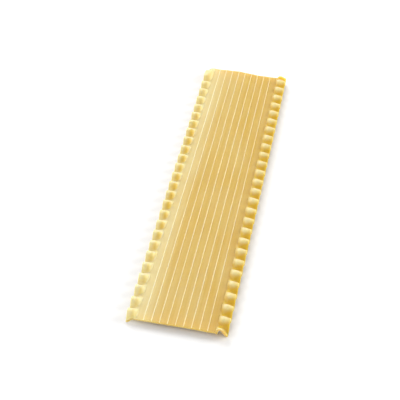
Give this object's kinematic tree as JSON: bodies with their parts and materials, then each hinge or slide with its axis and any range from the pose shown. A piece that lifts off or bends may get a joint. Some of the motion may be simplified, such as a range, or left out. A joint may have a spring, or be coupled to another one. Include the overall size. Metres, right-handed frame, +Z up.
{
  "type": "oven-ready lasagna sheet",
  "caption": "Flat dried lasagna sheet: a thin panel with fine lengthwise ribs on both faces and a ruffled edge down each long side.",
  "frame": {"origin": "on the supporting surface, under the middle of the sheet's outline", "axes": "+Z up, square to the sheet; +Y along the sheet to its far cut; +X across it"},
  "size_m": [0.056, 0.2504, 0.0071],
  "materials": {
    "dried_dough": "smooth dried dough, pale golden, faintly glossy"
  },
  "bodies": {
    "root": {"lasagna_sheet": "dried_dough"}
  },
  "joints": []
}
